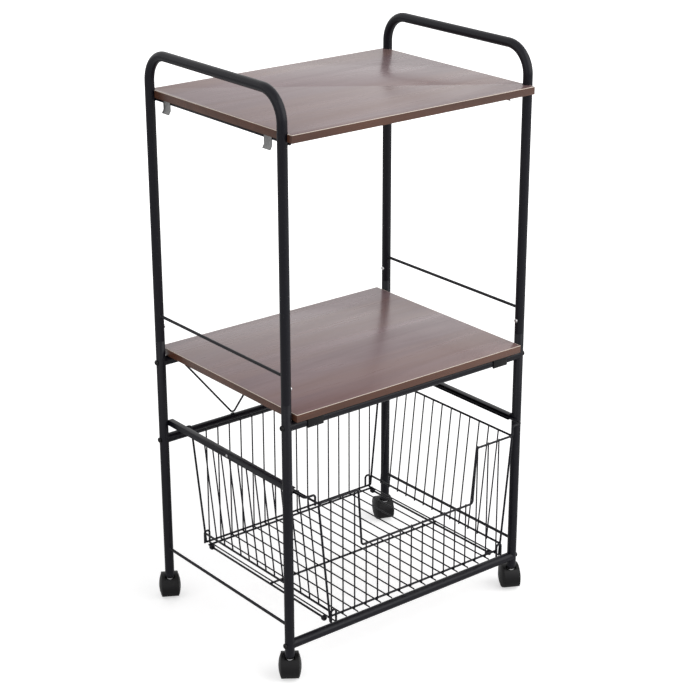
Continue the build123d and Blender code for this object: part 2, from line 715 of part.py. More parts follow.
# ---- all nodes
def build_nodes():
    """Every separate piece by name."""
    nodes = {}
    for side_name, side in SIDES:
        nodes["upper_frame_" + side_name] = upper_frame(side)
        nodes["top_shelf_rod_" + side_name] = shelf_rod(side)
        nodes["guard_rod_" + side_name] = side_rod(side, guard_rod_height)
        nodes["bottom_rod_" + side_name] = side_rod(side, bottom_rod_height)
        nodes["drawer_rail_" + side_name] = rail(side)
        for end_name, end in ENDS:
            nodes["lower_post_" + end_name + "_" + side_name] = lower_post(side, end)
    nodes["front_bottom_bar"] = crossbar(-1, front_bottom_bar_height)
    nodes["front_shelf_bar"] = crossbar(-1, shelf_bar_height)
    nodes["rear_shelf_bar"] = crossbar(1, shelf_bar_height)
    nodes["rear_lower_bar"] = crossbar(1, rear_lower_bar_height)
    nodes["rear_zigzag_brace"] = zigzag_brace()
    corners = [(side, end) for side in (-1, 1) for end in (-1, 1)]
    bar_ends = [(side, end, height) for side, end in corners for height in bar_heights(end)]
    nodes["crossbar_bolts"] = group(bolt(*place) for place in bar_ends)
    nodes["crossbar_inserts"] = group(bar_insert(*place) for place in bar_ends)
    nodes["frame_joint_screws"] = group(joint_screw(*place) for place in corners)
    nodes["rail_rivets"] = group(rail_rivet(side) for side in (-1, 1))
    top_place = (top_shelf_width, top_shelf_depth, top_shelf_top, top_shelf_shift_y)
    top_board = drill(shelf_core(*top_place), clip_points(), top_shelf_bottom)
    nodes["top_shelf_board"] = notch_round_posts(top_board)
    nodes["top_shelf_edge_band"] = notch_round_posts(shelf_band(*top_place))
    middle_place = (middle_shelf_width, middle_shelf_depth, middle_shelf_top, 0)
    nodes["middle_shelf_board"] = drill(shelf_core(*middle_place), saddle_points(), middle_shelf_bottom)
    nodes["middle_shelf_edge_band"] = shelf_band(*middle_place)
    nodes["top_shelf_clips"] = group(top_clip(side, y) for side in (-1, 1) for y in clip_offsets_y)
    clip_seat = top_shelf_bottom - clip_thickness
    nodes["top_clip_screws"] = group(board_screw(x, y, clip_seat, top_shelf_bottom) for x, y in clip_points())
    nodes["middle_shelf_saddles"] = group(saddle(*place) for place in corners)
    saddle_seat = middle_shelf_bottom - saddle_flange_thickness
    nodes["saddle_screws"] = group(board_screw(x, y, saddle_seat, middle_shelf_bottom) for x, y in saddle_points())
    nodes["caster_sockets"] = group(socket(*place) for place in corners)

    outer = (upright_bars - notch_bars) // 2
    nodes["basket_front_rim"] = front_rim()
    nodes["basket_front_bars_left"] = group(front_bars(0, outer, basket_top_height))
    nodes["basket_front_bars_centre"] = group(front_bars(outer, outer + notch_bars, notch_height))
    nodes["basket_front_bars_right"] = group(front_bars(outer + notch_bars, upright_bars, basket_top_height))
    nodes["basket_rear_panel"] = rear_panel()
    nodes["basket_side_panel_left"] = side_panel(-1)
    nodes["basket_side_panel_right"] = side_panel(1)
    nodes["basket_floor"] = floor_panel()
    nodes["basket_runner_left"] = runner(-1)
    nodes["basket_runner_right"] = runner(1)
    nodes["basket_front_hooks"] = group(corner_hook(side, -1) for side in (-1, 1))
    nodes["basket_rear_hooks"] = group(corner_hook(side, 1) for side in (-1, 1))

    for side_name, side in SIDES:
        for end_name, end in ENDS:
            name = end_name + "_" + side_name
            nodes["caster_stem_" + name] = placed_caster(name, side, end, caster_stem())
            nodes["caster_hood_" + name] = placed_caster(name, side, end, caster_hood())
            nodes["caster_axle_" + name] = placed_caster(name, side, end, caster_axle())
            wheels = [placed_caster(name, side, end, caster_wheel(direction)) for direction in (-1, 1)]
            nodes["caster_wheels_" + name] = group(wheels)
    return nodes


os.makedirs("parts", exist_ok=True)
for node_name, node_shape in build_nodes().items():
    export_step(node_shape, "parts/" + node_name + ".step")
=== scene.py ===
import math

import bmesh
import bpy
from bpy.props import FloatProperty, FloatVectorProperty, IntProperty, PointerProperty
from mathutils import Matrix, Vector


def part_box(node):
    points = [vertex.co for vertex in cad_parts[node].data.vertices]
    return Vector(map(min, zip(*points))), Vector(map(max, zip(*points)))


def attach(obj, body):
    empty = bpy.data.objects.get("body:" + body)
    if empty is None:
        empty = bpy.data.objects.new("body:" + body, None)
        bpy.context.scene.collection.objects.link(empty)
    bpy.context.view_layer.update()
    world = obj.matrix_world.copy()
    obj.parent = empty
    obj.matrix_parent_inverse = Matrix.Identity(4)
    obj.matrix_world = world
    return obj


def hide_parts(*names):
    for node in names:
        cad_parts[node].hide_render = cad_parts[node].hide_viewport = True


bl_info = {
    "name": "Microwave stand with drawer",
    "version": (1, 0, 0),
    "blender": (4, 5, 0),
    "location": "View3D > Sidebar > Stand",
    "description": "Builds a rolling microwave stand with two shelves and a wire basket drawer",
    "category": "Object",
}

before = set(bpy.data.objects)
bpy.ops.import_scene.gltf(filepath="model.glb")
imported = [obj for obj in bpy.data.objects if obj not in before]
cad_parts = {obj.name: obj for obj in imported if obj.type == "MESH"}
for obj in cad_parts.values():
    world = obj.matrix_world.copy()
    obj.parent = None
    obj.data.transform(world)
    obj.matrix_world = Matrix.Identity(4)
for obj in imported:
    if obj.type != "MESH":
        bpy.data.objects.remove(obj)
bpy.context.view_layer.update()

SIDES = {"left": -1, "right": 1}
ENDS = {"front": -1, "rear": 1}


MOULDED_EDGE = 0.0003
PART_EDGE = 0.00025
THIN_EDGE = 0.0002


# ---------------------------------------------------------------- settings
def length(name, description, default):
    return FloatProperty(name=name, description=description, default=default, unit="LENGTH")


def power(name, description, default):
    return FloatProperty(name=name, description=description, default=default, unit="POWER")


def view_angle(name, description, degrees):
    return FloatProperty(name=name, description=description, default=math.radians(degrees), subtype="ANGLE")


def finish_colour(name, description, default):
    return FloatVectorProperty(name=name, description=description, default=default, subtype="COLOR", size=3,
                               min=0, max=1)


class StandSizes(bpy.types.PropertyGroup):
    """Sizes of the stand's pieces."""

    tube_width: length("Tube width", "Outer width of the posts", 0.019)
    tube_wall: length("Tube wall", "Wall of the posts", 0.0012)
    handle_bend: length("Handle bend", "Centre-line radius of the handle's bends", 0.055)
    # Above this height the band's top edge carries the pale line: trimmed core colour plus a painted highlight.
    edge_core_and_highlight_height: length("Edge trim", "Height of the pale line along the shelves' top edges", 0.0009)
    rod_width: length("Rod width", "Width of the thin rods", 0.006)
    brace_pitch: length("Brace pitch", "Sideways distance between the brace's bends", 0.1205)
    rim_wire: length("Rim wire", "Width of the basket's thick wires", 0.0044)
    bar_wire: length("Bar wire", "Width of the basket's thin bars", 0.0030)
    bar_pitch: length("Bar pitch", "Distance between the basket's bars", 0.0285)
    basket_top_width: length("Basket top width", "Between the two top side wires", 0.492)
    basket_foot_width: length("Basket foot width", "Between the corner wires' lower ends", 0.43887)
    rim_bend: length("Rim bend", "Bend radius of the front rim", 0.007)
    weld_sink: length("Weld sink", "How far welded wires press into each other", 0.00035)
    notch_bars: IntProperty(name="Bars in the notch", description="Upright bars under the low part of the front",
                            default=10)
    notch_lean: length("Notch lean", "How far the notch's sides lean out", 0.008)
    cross_offset: length("Cross wire offset", "How far the middle cross wire lies before the middle", 0.013)
    skid_setback: length("Skid setback", "From the front edge wire to the skids' ends", 0.014)
    knob_width: length("Knob width", "Width of the knobs on the skids", 0.011)
    knob_length: length("Knob length", "Length of the knobs on the skids", 0.008)
    runner_bend: length("Runner bend", "Bend radius of the runner wires", 0.006)
    hook_bend: length("Hairpin bend", "Bend radius of the corner hairpins", 0.0054)
    hook_width: length("Hairpin width", "Between the legs of a corner hairpin", 0.012)
    wheel_inner: length("Wheel inner face", "From the caster's middle to a wheel", 0.0118)
    wheel_rim: length("Wheel rim", "From the caster's middle to the tread's outer edge", 0.0175)
    wheel_outer: length("Wheel outer face", "From the caster's middle to the dome's top", 0.0225)
    axle_width: length("Axle width", "Width of the caster axles", 0.004)


class StandColours(bpy.types.PropertyGroup):
    """Colours of the finishes."""

    steel_paint: finish_colour("Steel paint", "Black powder coat", (0.0062, 0.0060, 0.0100))
    wood_light: finish_colour("Wood light", "Light streaks of the board print", (0.284, 0.194, 0.204))
    wood_dark: finish_colour("Wood dark", "Dark streaks of the board print", (0.194, 0.124, 0.134))
    wood_warm: finish_colour("Wood warm", "Broad warm planks of the board print", (0.250, 0.146, 0.124))
    edge_brown: finish_colour("Edge brown", "Band on the shelf edges", (0.092, 0.036, 0.021))
    # Pale colour of the band's top edge line: partly the trimmed core's own colour, partly a painted highlight
    # along the top arris.
    edge_core_and_highlight: finish_colour("Edge core and highlight", "Bare core along the top of the edge band", (0.80, 0.70, 0.60))
    zinc: finish_colour("Zinc", "Bare plated metal", (0.62, 0.62, 0.63))
    clip_zinc: finish_colour("Clip zinc", "Dull mottled plating of the clips", (0.22, 0.22, 0.22))
    moulded_black: finish_colour("Moulded black", "Black plastic", (0.0065, 0.0062, 0.0070))


class StandStage(bpy.types.PropertyGroup):
    """Camera and lights."""

    camera_place: FloatVectorProperty(name="Camera place", description="Where the camera stands", size=3,
                                      subtype="TRANSLATION", default=(-2.1286, -2.6897, 1.8895))
    camera_turn: view_angle("Camera turn", "Turn of the view to the right of straight back", 38.672)
    camera_drop: view_angle("Camera drop", "Tilt of the view below the horizon", 21.371)
    camera_roll: view_angle("Camera roll", "Roll of the view", -0.075)
    lens: FloatProperty(name="Lens", description="Focal length on a 36 mm frame, in millimetres", default=95.089)
    key_power: power("Key power", "Power of the large soft lamp", 112.0)
    key_width: length("Key width", "Width of the large soft lamp", 4.6)
    fill_power: power("Fill power", "Power of the second lamp", 14.0)
    fill_width: length("Fill width", "Width of the second lamp", 3.2)
    sky_strength: FloatProperty(name="Sky strength", description="Even light from all round", default=0.55)


def sizes():
    return bpy.context.scene.stand_sizes


def colours():
    return bpy.context.scene.stand_colours


# ---------------------------------------------------------------- mesh helpers
def new_ring(bm, centre, direction, radius, sides):
    """Circle of edges across a direction."""
    turn = Vector(direction).to_track_quat("Z", "X").to_matrix().to_4x4()
    made = bmesh.ops.create_circle(bm, cap_ends=False, segments=sides, radius=radius,
                                   matrix=Matrix.Translation(centre) @ turn)
    return list({edge for vert in made["verts"] for edge in vert.link_edges})


def pull_ring(bm, ring, offset):
    """Extrudes a ring along an offset and returns the new ring."""
    made = bmesh.ops.extrude_edge_only(bm, edges=ring)["geom"]
    verts = [item for item in made if isinstance(item, bmesh.types.BMVert)]
    bmesh.ops.translate(bm, verts=verts, vec=offset)
    return [item for item in made if isinstance(item, bmesh.types.BMEdge) and item.is_boundary]


def turn_ring(bm, ring, centre, axis, angle, steps):
    """Spins a ring about an axis and returns the last ring."""
    verts = list({vert for edge in ring for vert in edge.verts})
    made = bmesh.ops.spin(bm, geom=verts + ring, cent=centre, axis=axis, angle=angle, steps=steps,
                          use_merge=False, use_duplicate=False)
    return [item for item in made["geom_last"] if isinstance(item, bmesh.types.BMEdge)]


def round_bar(bm, points, radius, bend=0.0, sides=16, steps=6, tip=0.0, open_ends=False):
    """Round bar along straight legs joined by spun bends."""
    points = [Vector(point) for point in points]
    ring = new_ring(bm, points[0], points[1] - points[0], radius, sides)
    first = ring
    place = points[0]
    for index in range(1, len(points)):
        leg = (points[index] - points[index - 1]).normalized()
        if index < len(points) - 1:
            after = (points[index + 1] - points[index]).normalized()
            angle = leg.angle(after)
            stop = points[index] - leg * bend * math.tan(angle / 2)
            ring = pull_ring(bm, ring, stop - place)
            axis = leg.cross(after).normalized()
            centre = stop + axis.cross(leg) * bend
            ring = turn_ring(bm, ring, centre, axis, angle, steps)
            place = centre + Matrix.Rotation(angle, 3, axis) @ (stop - centre)
        else:
            ring = pull_ring(bm, ring, points[index] - place)
    if not open_ends:
        for rim in (first, ring):
            bmesh.ops.edgeloop_fill(bm, edges=rim)
            if tip:
                bmesh.ops.bevel(bm, geom=rim, offset=tip, offset_type="OFFSET", affect="EDGES", segments=2,
                                profile=0.5, clamp_overlap=True, material=-1)


def turned(bm, outline, place, steps=32):
    """Turns an outline of (radius, height) about the Z axis of a place."""
    verts = [bm.verts.new((radius, 0.0, height)) for radius, height in outline]
    edges = [bm.edges.new(pair) for pair in zip(verts, verts[1:])]
    bmesh.ops.spin(bm, geom=verts + edges, cent=(0, 0, 0), axis=(0, 0, 1), angle=math.tau, steps=steps,
                   use_merge=True, use_duplicate=False)
    found = set(verts)
    stack = list(verts)
    while stack:
        for edge in stack.pop().link_edges:
            for vert in edge.verts:
                if vert not in found:
                    found.add(vert)
                    stack.append(vert)
    bmesh.ops.remove_doubles(bm, verts=list(found), dist=1e-6)
    live = [vert for vert in found if vert.is_valid]
    bmesh.ops.transform(bm, matrix=place, verts=live)


def weld_dot(bm, place, radius, flat=(1, 1, 1)):
    """Small lump of weld metal."""
    scale = Matrix.Diagonal((*flat, 1))
    bmesh.ops.create_icosphere(bm, subdivisions=1, radius=radius, matrix=Matrix.Translation(place) @ scale)


def finish_piece(name, bm, material, body, nodes=(), sharp=38.0):
    """Turns a bmesh into a smooth-shaded piece that rides on a body."""
    bmesh.ops.recalc_face_normals(bm, faces=bm.faces)
    for face in bm.faces:
        face.smooth = True
    for edge in bm.edges:
        edge.smooth = edge.calc_face_angle(0.0) < math.radians(sharp)
    mesh = bpy.data.meshes.new(name)
    bm.to_mesh(mesh)
    bm.free()
    mesh.materials.append(material)
    piece = bpy.data.objects.new(name, mesh)
    bpy.context.scene.collection.objects.link(piece)
    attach(piece, body)
    if nodes:
        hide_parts(*nodes)
    return piece


def frame_piece(name, bm, node):
    return finish_piece(name, bm, frame_paint(), "stand", [node])


def wire_piece(name, bm, node):
    return finish_piece(name, bm, wire_paint(), "basket", [node])


def merged_copy(node):
    """Copy of a CAD node's mesh with its triangles joined."""
    bm = bmesh.new()
    bm.from_mesh(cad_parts[node].data)
    bmesh.ops.remove_doubles(bm, verts=bm.verts, dist=1e-6)
    return bm


def softened_copy(node, offset, angle=40.0):
    """Copy of a CAD node with its flat triangles joined and its sharp edges rounded."""
    bm = merged_copy(node)
    bmesh.ops.dissolve_limit(bm, angle_limit=math.radians(0.4), verts=bm.verts[:], edges=bm.edges[:])
    edges = [edge for edge in bm.edges if edge.calc_face_angle(0.0) > math.radians(angle)]
    bmesh.ops.bevel(bm, geom=edges, offset=offset, offset_type="OFFSET", affect="EDGES", segments=2, profile=0.5,
                    clamp_overlap=True, material=-1)
    return bm


def centre_of(node):
    low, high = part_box(node)
    return (low + high) / 2


def bead(bm, place, direction, radius):
    """Ring of weld metal where a rod runs into a wall; the direction points into the wall."""
    outline = [(radius * 0.9, -0.0018), (radius * 1.1, -0.0012), (radius * 1.24, -0.0004), (radius * 1.5, 0.0004),
               (radius * 1.54, 0.0016), (radius * 0.9, 0.0016), (radius * 0.9, -0.0018)]
    turn = Vector(direction).to_track_quat("Z", "X").to_matrix().to_4x4()
    turned(bm, outline, Matrix.Translation(place) @ turn, 20)


class BasketWires:
    """Places of the basket's wires, read from its CAD pieces."""

    def __init__(self):
        rim = sizes().rim_wire / 2
        bar = sizes().bar_wire / 2
        sink = sizes().weld_sink
        rim_low, rim_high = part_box("basket_front_rim")
        floor_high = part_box("basket_floor")[1]
        self.top = rim_high.z - rim
        self.foot = rim_low.z + 0.0002
        self.front = (rim_low.y + rim_high.y) / 2
        self.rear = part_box("basket_rear_panel")[1].y - rim
        self.front_bar = self.front + rim + bar
        self.rear_bar = self.rear - rim - bar + sink
        self.edge = floor_high.z - rim
        self.edge_y = self.front_bar + bar + rim
        self.floor_bar = self.edge - rim - bar + sink
        self.cross = self.floor_bar - rim - bar + sink
        self.skid = self.cross - 2 * rim + sink
        self.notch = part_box("basket_front_bars_centre")[1].z - rim / 2
        self.side_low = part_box("basket_side_panel_left")[0].z + 0.0031

    def half_width(self, height):
        lean = (sizes().basket_top_width - sizes().basket_foot_width) / 2 / (self.top - self.foot)
        return sizes().basket_top_width / 2 - lean * (self.top - height)

    def bar_places(self, count=16):
        pitch = sizes().bar_pitch
        return [pitch * (index - (count - 1) / 2) for index in range(count)]


# ---------------------------------------------------------------- shader helpers
def new_group(name, inputs, outputs):
    """Empty shader node group with named sockets."""
    group = bpy.data.node_groups.new(name, "ShaderNodeTree")
    for label, kind, value in inputs:
        socket = group.interface.new_socket(name=label, in_out="INPUT", socket_type=kind)
        socket.default_value = value
    for label, kind in outputs:
        group.interface.new_socket(name=label, in_out="OUTPUT", socket_type=kind)
    return group, group.nodes.new("NodeGroupInput"), group.nodes.new("NodeGroupOutput")


def add_node(tree, kind, links=(), **values):
    """Adds a node, sets its properties and joins its inputs."""
    node = tree.nodes.new(kind)
    for key, value in values.items():
        setattr(node, key, value)
    for socket, source in links:
        if hasattr(source, "is_output"):
            tree.links.new(source, node.inputs[socket])
        else:
            node.inputs[socket].default_value = source
    return node


def noise(tree, vector, scale, detail, roughness, distortion=0.0):
    """Value of a noise texture."""
    links = [("Vector", vector), ("Scale", scale), ("Detail", detail), ("Roughness", roughness),
             ("Distortion", distortion)]
    return add_node(tree, "ShaderNodeTexNoise", links).outputs["Fac"]


def stretched(tree, vector, scale):
    """Coordinates scaled along the three axes."""
    return add_node(tree, "ShaderNodeMapping", [("Vector", vector), ("Scale", scale)]).outputs["Vector"]


def remapped(tree, value, low, high, new_low=0.0, new_high=1.0):
    """One range of a value brought onto another."""
    links = [("Value", value), ("From Min", low), ("From Max", high), ("To Min", new_low), ("To Max", new_high)]
    return add_node(tree, "ShaderNodeMapRange", links).outputs["Result"]


def mixed(tree, factor, first, second):
    """Colour between two colours."""
    return add_node(tree, "ShaderNodeMix", [(0, factor), (6, first), (7, second)], data_type="RGBA").outputs[2]


def shade(colour, factor=1.0, lift=0.0):
    """Colour made darker or lighter, with its alpha."""
    return (*[min(1.0, channel * factor + lift) for channel in colour], 1)


def coat_texture_group():
    """Powder coat: fine pitted height and a soft unevenness of gloss."""
    if "Powder coat texture" in bpy.data.node_groups:
        return bpy.data.node_groups["Powder coat texture"]
    group, inside, outside = new_group(
        "Powder coat texture",
        [("Vector", "NodeSocketVector", (0, 0, 0)), ("Pit scale", "NodeSocketFloat", 900.0),
         ("Gloss low", "NodeSocketFloat", 0.3), ("Gloss high", "NodeSocketFloat", 0.45)],
        [("Height", "NodeSocketFloat"), ("Roughness", "NodeSocketFloat"), ("Dust", "NodeSocketFloat")])
    vector = inside.outputs["Vector"]
    pits = noise(group, vector, inside.outputs["Pit scale"], 3.0, 0.6)
    patches = noise(group, vector, 22.0, 4.0, 0.6)
    gloss = remapped(group, patches, 0.3, 0.7, inside.outputs["Gloss low"], inside.outputs["Gloss high"])
    specks = noise(group, vector, 260.0, 2.0, 0.7)
    group.links.new(pits, outside.inputs["Height"])
    group.links.new(gloss, outside.inputs["Roughness"])
    group.links.new(remapped(group, specks, 0.62, 0.78), outside.inputs["Dust"])
    return group


def wood_grain_group():
    """Printed wood: long streaks that run left to right, with pores and broad warm planks."""
    if "Wood print grain" in bpy.data.node_groups:
        return bpy.data.node_groups["Wood print grain"]
    group, inside, outside = new_group(
        "Wood print grain",
        [("Vector", "NodeSocketVector", (0, 0, 0)), ("Light", "NodeSocketColor", (0.3, 0.24, 0.22, 1)),
         ("Dark", "NodeSocketColor", (0.19, 0.14, 0.13, 1)), ("Warm", "NodeSocketColor", (0.24, 0.15, 0.12, 1)),
         ("Warmth", "NodeSocketFloat", 0.0)],
        [("Color", "NodeSocketColor"), ("Roughness", "NodeSocketFloat"), ("Height", "NodeSocketFloat")])
    vector = inside.outputs["Vector"]
    streaks = noise(group, stretched(group, vector, (0.9, 9.0, 9.0)), 2.2, 6.0, 0.58, 0.8)
    pores = noise(group, stretched(group, vector, (9.0, 420.0, 420.0)), 1.0, 3.0, 0.7)
    grain = add_node(group, "ShaderNodeMix", [("Factor", 0.22), ("A", streaks), ("B", pores)], data_type="FLOAT")
    height = grain.outputs["Result"]
    tint = mixed(group, remapped(group, height, 0.34, 0.66), inside.outputs["Dark"], inside.outputs["Light"])
    planks = noise(group, stretched(group, vector, (0.35, 7.0, 7.0)), 1.9, 2.0, 0.5, 0.3)
    warmth = remapped(group, planks, 0.42, 0.60, 0.0, inside.outputs["Warmth"])
    group.links.new(mixed(group, warmth, tint, inside.outputs["Warm"]), outside.inputs["Color"])
    group.links.new(remapped(group, height, 0.3, 0.7, 0.34, 0.24), outside.inputs["Roughness"])
    group.links.new(height, outside.inputs["Height"])
    return group


def base_material(name):
    """Material with a cleared tree, its shader and its Object coordinates."""
    material = bpy.data.materials.new(name)
    material.use_nodes = True
    tree = material.node_tree
    tree.nodes.clear()
    out = tree.nodes.new("ShaderNodeOutputMaterial")
    shader = tree.nodes.new("ShaderNodeBsdfPrincipled")
    tree.links.new(shader.outputs["BSDF"], out.inputs["Surface"])
    coords = tree.nodes.new("ShaderNodeTexCoord")
    return material, tree, shader, coords.outputs["Object"]


def surface(tree, shader, colour, roughness, height, strength, distance):
    """Feeds colour, roughness and bump into the shader."""
    tree.links.new(colour, shader.inputs["Base Color"])
    tree.links.new(roughness, shader.inputs["Roughness"])
    node = add_node(tree, "ShaderNodeBump", [("Height", height), ("Strength", strength), ("Distance", distance)])
    tree.links.new(node.outputs["Normal"], shader.inputs["Normal"])


def coated_steel(name, colour, gloss_low, gloss_high, pit_scale, pit_strength, dusty=0.02):
    """Black coat, faintly dusty."""
    if name in bpy.data.materials:
        return bpy.data.materials[name]
    material, tree, shader, vector = base_material(name)
    shader.inputs["Specular IOR Level"].default_value = 0.22
    texture = add_node(tree, "ShaderNodeGroup", [("Vector", vector), ("Pit scale", pit_scale),
                                                 ("Gloss low", gloss_low), ("Gloss high", gloss_high)],
                       node_tree=coat_texture_group())
    tint = mixed(tree, texture.outputs["Dust"], shade(colour), shade(colour, lift=dusty))
    surface(tree, shader, tint, texture.outputs["Roughness"], texture.outputs["Height"], pit_strength, 0.0002)
    return material


def frame_paint():
    return coated_steel("Black powder coat on tube", colours().steel_paint, 0.26, 0.38, 1100.0, 0.25)


def wire_paint():
    return coated_steel("Black powder coat on wire", colours().steel_paint, 0.28, 0.42, 1400.0, 0.2)


def moulded_black():
    return coated_steel("Black moulded plastic", colours().moulded_black, 0.36, 0.52, 1900.0, 0.15, 0.012)


def wheel_black():
    return coated_steel("Black wheel plastic", colours().moulded_black, 0.30, 0.46, 1500.0, 0.12, 0.016)


def bolt_black():
    return coated_steel("Black oxide on bolts", colours().moulded_black, 0.24, 0.36, 2400.0, 0.1, 0.02)


def board_material():
    """Grey-brown wood print under a satin lacquer."""
    if "Wood print on board" in bpy.data.materials:
        return bpy.data.materials["Wood print on board"]
    material, tree, shader, vector = base_material("Wood print on board")
    shader.inputs["Coat Weight"].default_value = 0.15
    shader.inputs["Coat Roughness"].default_value = 0.2
    grain = add_node(tree, "ShaderNodeGroup", [("Vector", vector), ("Light", shade(colours().wood_light)),
                                               ("Dark", shade(colours().wood_dark)),
                                               ("Warm", shade(colours().wood_warm)), ("Warmth", 0.6)],
                     node_tree=wood_grain_group())
    surface(tree, shader, grain.outputs["Color"], grain.outputs["Roughness"], grain.outputs["Height"], 0.08,
            0.0004)
    return material


def edge_material():
    """Brown edge band with short streaks along its length."""
    if "Brown edge band" in bpy.data.materials:
        return bpy.data.materials["Brown edge band"]
    material, tree, shader, vector = base_material("Brown edge band")
    brown = colours().edge_brown
    grain = add_node(tree, "ShaderNodeGroup", [("Vector", vector), ("Light", shade(brown, 1.35)),
                                               ("Dark", shade(brown, 0.75))], node_tree=wood_grain_group())
    surface(tree, shader, grain.outputs["Color"], grain.outputs["Roughness"], grain.outputs["Height"], 0.06,
            0.0003)
    return material


def core_and_highlight_material():
    """Cream core of the edge band where its top corner is trimmed, made pale also as a painted highlight along
    the top arris.
    """
    if "Cream edge core" in bpy.data.materials:
        return bpy.data.materials["Cream edge core"]
    material, tree, shader, vector = base_material("Cream edge core")
    texture = add_node(tree, "ShaderNodeGroup", [("Vector", vector), ("Gloss low", 0.35), ("Gloss high", 0.5)],
                       node_tree=coat_texture_group())
    height = texture.outputs["Height"]
    # Pale core colour that also stands in for the highlight along the band's top arris.
    core_and_highlight_colour = colours().edge_core_and_highlight
    tint = mixed(tree, height, shade(core_and_highlight_colour, 0.85), shade(core_and_highlight_colour, 1.12))
    surface(tree, shader, tint, texture.outputs["Roughness"], height, 0.06, 0.0002)
    return material


def plated_steel(name, colour, dark, light, cloud_scale):
    """Plated steel with a cloudy bloom."""
    if name in bpy.data.materials:
        return bpy.data.materials[name]
    material, tree, shader, vector = base_material(name)
    shader.inputs["Metallic"].default_value = 1.0
    cloud = noise(tree, vector, cloud_scale, 4.0, 0.65)
    tint = mixed(tree, cloud, shade(colour, dark), shade(colour, light))
    surface(tree, shader, tint, remapped(tree, cloud, 0.3, 0.7, 0.26, 0.44), cloud, 0.05, 0.0003)
    return material


def zinc_material():
    return plated_steel("Zinc plate", colours().zinc, 0.78, 1.15, 90.0)


def clip_material():
    return plated_steel("Mottled zinc on clips", colours().clip_zinc, 0.45, 1.5, 170.0)


# ---------------------------------------------------------------- pieces
class STAND_OT_shelves(bpy.types.Operator):
    """Two boards with their edge bands"""

    bl_idname = "stand.shelves"
    bl_label = "Shelves"

    def execute(self, context):
        for shelf in ("top_shelf", "middle_shelf"):
            board = softened_copy(shelf + "_board", MOULDED_EDGE)
            finish_piece(shelf + "_panel", board, board_material(), "stand", [shelf + "_board"])
            band = softened_copy(shelf + "_edge_band", PART_EDGE)
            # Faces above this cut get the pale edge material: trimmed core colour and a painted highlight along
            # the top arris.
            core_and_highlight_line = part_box(shelf + "_edge_band")[1].z - sizes().edge_core_and_highlight_height
            bmesh.ops.bisect_plane(band, geom=band.verts[:] + band.edges[:] + band.faces[:],
                                   plane_co=(0, 0, core_and_highlight_line), plane_no=(0, 0, 1))
            piece = finish_piece(shelf + "_band", band, edge_material(), "stand", [shelf + "_edge_band"])
            piece.data.materials.append(core_and_highlight_material())
            for face in piece.data.polygons:
                face.material_index = 1 if face.center.z > core_and_highlight_line else 0
        return {"FINISHED"}


class STAND_OT_upper_frames(bpy.types.Operator):
    """Bent tubes with the handle arches"""

    bl_idname = "stand.upper_frames"
    bl_label = "Upper frames"

    def execute(self, context):
        radius = sizes().tube_width / 2
        for side_name, side in SIDES.items():
            node = "upper_frame_" + side_name
            low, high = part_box(node)
            x = (low.x + high.x) / 2
            points = [(x, low.y + radius, low.z), (x, low.y + radius, high.z - radius),
                      (x, high.y - radius, high.z - radius), (x, high.y - radius, low.z)]
            bm = bmesh.new()
            round_bar(bm, points, radius, sizes().handle_bend, sides=40, steps=18, open_ends=True)
            bmesh.ops.recalc_face_normals(bm, faces=bm.faces)
            bmesh.ops.solidify(bm, geom=bm.faces[:], thickness=sizes().tube_wall)
            frame_piece(node + "_tube", bm, node)
        return {"FINISHED"}


class STAND_OT_lower_posts(bpy.types.Operator):
    """Straight posts with their reduced spigots"""

    bl_idname = "stand.lower_posts"
    bl_label = "Lower posts"

    def execute(self, context):
        radius = sizes().tube_width / 2
        wall = sizes().tube_wall
        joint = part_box("upper_frame_left")[0].z
        for side_name, side in SIDES.items():
            for end_name, end in ENDS.items():
                node = "lower_post_" + end_name + "_" + side_name
                low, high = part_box(node)
                spigot = radius - wall - 0.0001
                outline = [(radius - wall, low.z), (radius, low.z), (radius, joint - 0.0008),
                           (radius - 0.0005, joint - 0.0001), (spigot, joint - 0.0001), (spigot, high.z),
                           (spigot - wall, high.z), (spigot - wall, joint), (radius - wall, joint - 0.0026),
                           (radius - wall, low.z)]
                middle = (low + high) / 2
                bm = bmesh.new()
                turned(bm, outline, Matrix.Translation((middle.x, middle.y, 0)), 40)
                frame_piece(node + "_tube", bm, node)
        return {"FINISHED"}


class STAND_OT_crossbars(bpy.types.Operator):
    """Round bars with fish-mouth ends"""

    bl_idname = "stand.crossbars"
    bl_label = "Crossbars"

    def execute(self, context):
        for node in ("front_bottom_bar", "front_shelf_bar", "rear_shelf_bar", "rear_lower_bar"):
            frame_piece(node + "_tube", merged_copy(node), node)
        return {"FINISHED"}


class STAND_OT_rods(bpy.types.Operator):
    """Thin side rods and the rods under the top shelf, with their weld beads"""

    bl_idname = "stand.rods"
    bl_label = "Thin rods"

    def execute(self, context):
        radius = sizes().rod_width / 2
        tube = sizes().tube_width / 2
        post_y = centre_of("lower_post_rear_left").y
        for side_name, side in SIDES.items():
            for kind in ("guard_rod_", "bottom_rod_"):
                node = kind + side_name
                middle = centre_of(node)
                bm = merged_copy(node)
                for end in (-1, 1):
                    bead(bm, (middle.x, end * (post_y - tube), middle.z), (0, end, 0), radius)
                frame_piece(node + "_bar", bm, node)
            node = "top_shelf_rod_" + side_name
            middle = centre_of(node)
            low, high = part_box(node)
            bm = bmesh.new()
            ends = [(middle.x, low.y, middle.z), (middle.x, high.y, middle.z)]
            round_bar(bm, ends, radius, sides=24, tip=0.0014)
            for end in (-1, 1):
                for up in (-1, 1):
                    place = (middle.x + side * radius * 0.75, end * post_y, middle.z + up * radius * 0.7)
                    weld_dot(bm, place, 0.0016, (0.8, 2.4, 0.9))
            frame_piece(node + "_bar", bm, node)
        return {"FINISHED"}


